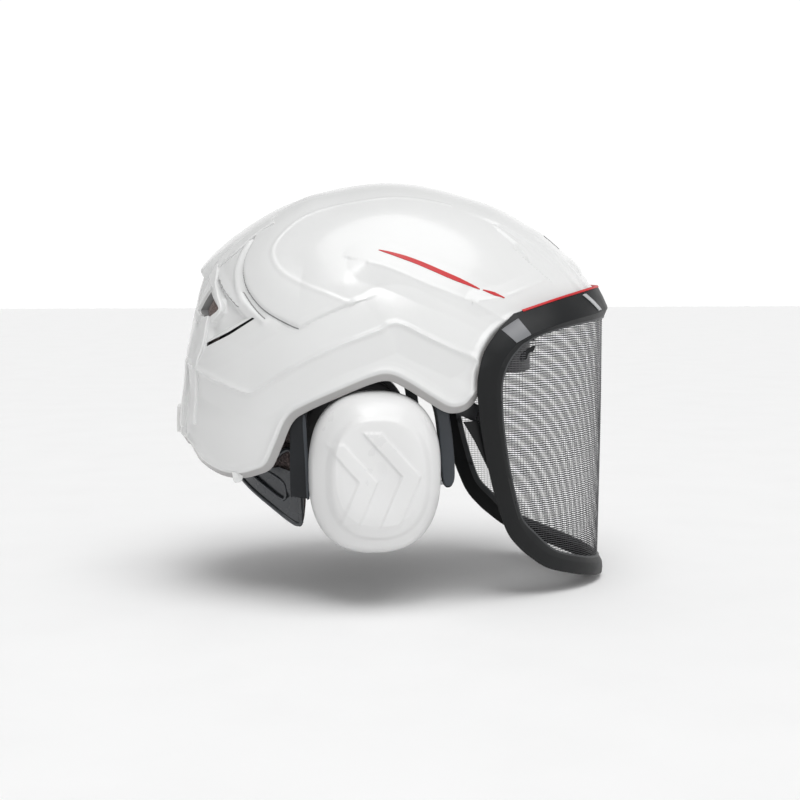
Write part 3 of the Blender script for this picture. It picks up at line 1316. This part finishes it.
# ---------------------------------------------------------------- soft pieces
def soft_copy(name, source, slot, voxel=4.0, cap=5.0, shrink=0.6, pressure=4.0):
    """Padded piece: the CAD solid's mesh remeshed, swollen by a cloth run and smoothed."""
    me = cad_node(source).data.copy()
    me.name = name
    ob = finish_piece(name, me, frame_body(source), MAT[slot])
    m = ob.modifiers.new("remesh", "REMESH")
    m.mode = "VOXEL"
    m.voxel_size = voxel * MM
    apply_modifiers(ob)
    me = ob.data
    co = np.zeros(len(me.vertices) * 3)
    no = np.zeros(len(me.vertices) * 3)
    me.vertices.foreach_get("co", co)
    me.vertices.foreach_get("normal", no)
    start = co.reshape(-1, 3) - no.reshape(-1, 3) * shrink * MM
    me.vertices.foreach_set("co", start.ravel())
    me.update()
    c = ob.modifiers.new("cloth", "CLOTH")
    c.settings.use_pressure = True
    c.settings.uniform_pressure_force = pressure
    c.settings.effector_weights.gravity = 0.0
    c.settings.tension_stiffness = 15
    c.settings.compression_stiffness = 15
    c.settings.quality = 5
    c.point_cache.frame_start = 1
    c.point_cache.frame_end = 20
    for k in range(1, 21):
        bpy.context.scene.frame_set(k)
    dg = bpy.context.evaluated_depsgraph_get()
    moved = np.zeros(len(me.vertices) * 3)
    ob.evaluated_get(dg).data.vertices.foreach_get("co", moved)
    ob.modifiers.clear()
    bpy.context.scene.frame_set(1)
    step = moved.reshape(-1, 3) - start
    size = np.linalg.norm(step, axis=1, keepdims=True)
    step = step * np.minimum(1, cap * MM / np.maximum(size, 1e-9))
    me.vertices.foreach_set("co", (start + step).ravel())
    me.update()
    m = ob.modifiers.new("smooth", "SMOOTH")
    m.factor = 0.5
    m.iterations = 3
    m = ob.modifiers.new("subdivision", "SUBSURF")
    m.levels = 1
    apply_modifiers(ob)
    ob.data.polygons.foreach_set("use_smooth", [True] * len(ob.data.polygons))
    ob.data.materials.clear()
    ob.data.materials.append(MAT[slot])
    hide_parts(source)


def frame_body(source):
    for body, nodes in frame["record"]["behaviour"]["bodies"].items():
        if source in nodes:
            return body
    raise ValueError(source)


soft_copy("neck_pad_fabric", "neck_pad", "pad_fabric", 3.5, 2.0)
soft_copy("brow_pad_fabric", "brow_pad", "pad_fabric", 3.5, 2.0)
soft_copy("crown_pad_fabric", "crown_pad", "pad_fabric", 4.0, 2.5)
for ear in ("left", "right"):
    soft_copy("ear_cushion_skin_" + ear, "ear_cushion_" + ear, "cushion_black", 3.0, 1.5)


# ---------------------------------------------------------------- stage, lights and camera
def stage():
    low = cad_box[0][2]
    me = bpy.data.meshes.new("floor")
    bm = bmesh.new()
    bmesh.ops.create_grid(bm, x_segments=1, y_segments=1, size=6.0)
    bm.to_mesh(me)
    bm.free()
    floor = bpy.data.objects.new("floor", me)
    floor.location.z = low - 0.002
    bpy.context.scene.collection.objects.link(floor)
    me.materials.append(plastic("floor_pale", (0.93, 0.93, 0.93), (0.95, 0.95, 0.95),
                                (0.8, 0.9), 50.0, 0.0))


def area_light(name, place, target, size, power):
    data = bpy.data.lights.new(name, "AREA")
    data.shape = "RECTANGLE"
    data.size, data.size_y = size
    data.energy = power
    ob = bpy.data.objects.new(name, data)
    ob.location = place
    ob.rotation_euler = (Vector(target) - Vector(place)).to_track_quat("-Z", "Y").to_euler()
    bpy.context.scene.collection.objects.link(ob)


def lighting():
    """White at the horizon, greyer overhead, with soft boxes above and in front."""
    world = bpy.data.worlds.new("studio")
    world.use_nodes = True
    nt = world.node_tree
    back = nt.nodes["Background"]
    co = nt.nodes.new("ShaderNodeTexCoord").outputs["Generated"]
    split = nt.nodes.new("ShaderNodeSeparateXYZ")
    nt.links.new(co, split.inputs[0])
    high = ramp(nt, split.outputs["Z"], [(0.0, 1.0), (0.30, 1.0), (0.62, 0.40), (1.0, 0.40)])
    wide = node(nt, "ShaderNodeMapRange", interpolation_type="SMOOTHSTEP")
    wide.inputs["From Min"].default_value = -0.80
    wide.inputs["From Max"].default_value = -0.25
    wide.inputs["To Min"].default_value = 0.38
    nt.links.new(split.outputs["X"], wide.inputs["Value"])
    mix = node(nt, "ShaderNodeMix", data_type="RGBA", blend_type="MULTIPLY")
    mix.inputs["Factor"].default_value = 1.0
    nt.links.new(high, mix.inputs[6])
    nt.links.new(wide.outputs["Result"], mix.inputs[7])
    nt.links.new(mix.outputs[2], back.inputs["Color"])
    back.inputs["Strength"].default_value = 1.04
    bpy.context.scene.world = world
    sun = bpy.data.lights.new("sun", "SUN")
    sun.energy = 1.62
    sun.angle = math.radians(50)
    ob = bpy.data.objects.new("sun", sun)
    ob.rotation_euler = Vector((-0.10, 0.36, -1.0)).to_track_quat("-Z", "Y").to_euler()
    bpy.context.scene.collection.objects.link(ob)
    area_light("key", (-0.1, -0.75, 1.0), (0, 0, 0.05), (0.35, 0.22), 0.9)
    bpy.context.scene.view_settings.view_transform = "Standard"


def camera():
    data = bpy.data.cameras.new("camera")
    data.sensor_width = 36.0
    data.lens = 64.29
    ob = bpy.data.objects.new("camera", data)
    az, el, far = math.radians(-6.0), math.radians(5.5), 1.0
    target = Vector((0.007, 0, 0))
    away = Vector((math.sin(az) * math.cos(el), -math.cos(az) * math.cos(el), math.sin(el)))
    ob.location = target + away * far
    ob.rotation_euler = (-away).to_track_quat("-Z", "Y").to_euler()
    bpy.context.scene.collection.objects.link(ob)
    bpy.context.scene.camera = ob


stage()
lighting()
camera()
